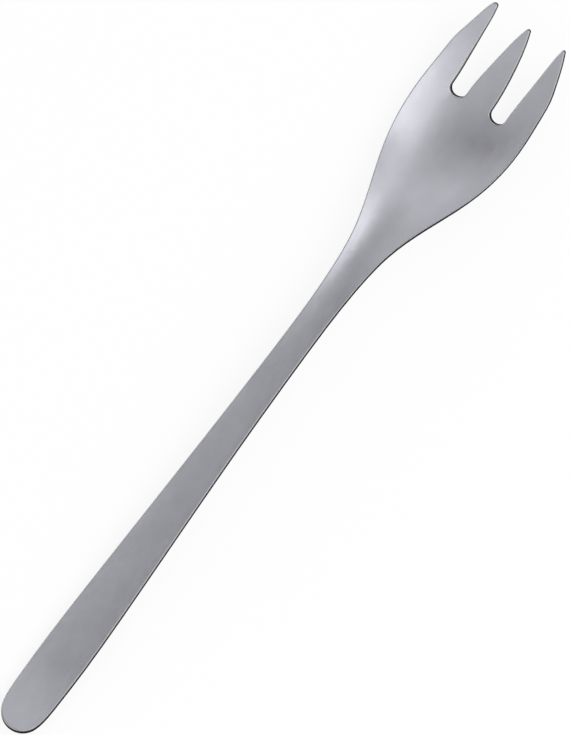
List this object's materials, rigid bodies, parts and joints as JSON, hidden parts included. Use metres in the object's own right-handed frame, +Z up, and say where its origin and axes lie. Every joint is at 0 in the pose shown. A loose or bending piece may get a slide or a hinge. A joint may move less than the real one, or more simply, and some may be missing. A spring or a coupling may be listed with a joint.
{
  "type": "dessert fork",
  "caption": "Plain dessert fork pressed from steel strip: slim handle with a rounded end, narrow waist and a dished head that splits into tapering, upturned tines.",
  "frame": {"origin": "on the table, under the middle of the fork's length and on its centre line", "axes": "+Y along the fork from the handle's end to the tips of the tines, +X to the right when the hollow side of the head faces up and the tips point away, +Z up out of the hollow side"},
  "size_m": [0.024, 0.17, 0.0104],
  "materials": {
    "steel": "satin"
  },
  "bodies": {
    "root": {"fork": "steel"}
  },
  "joints": []
}
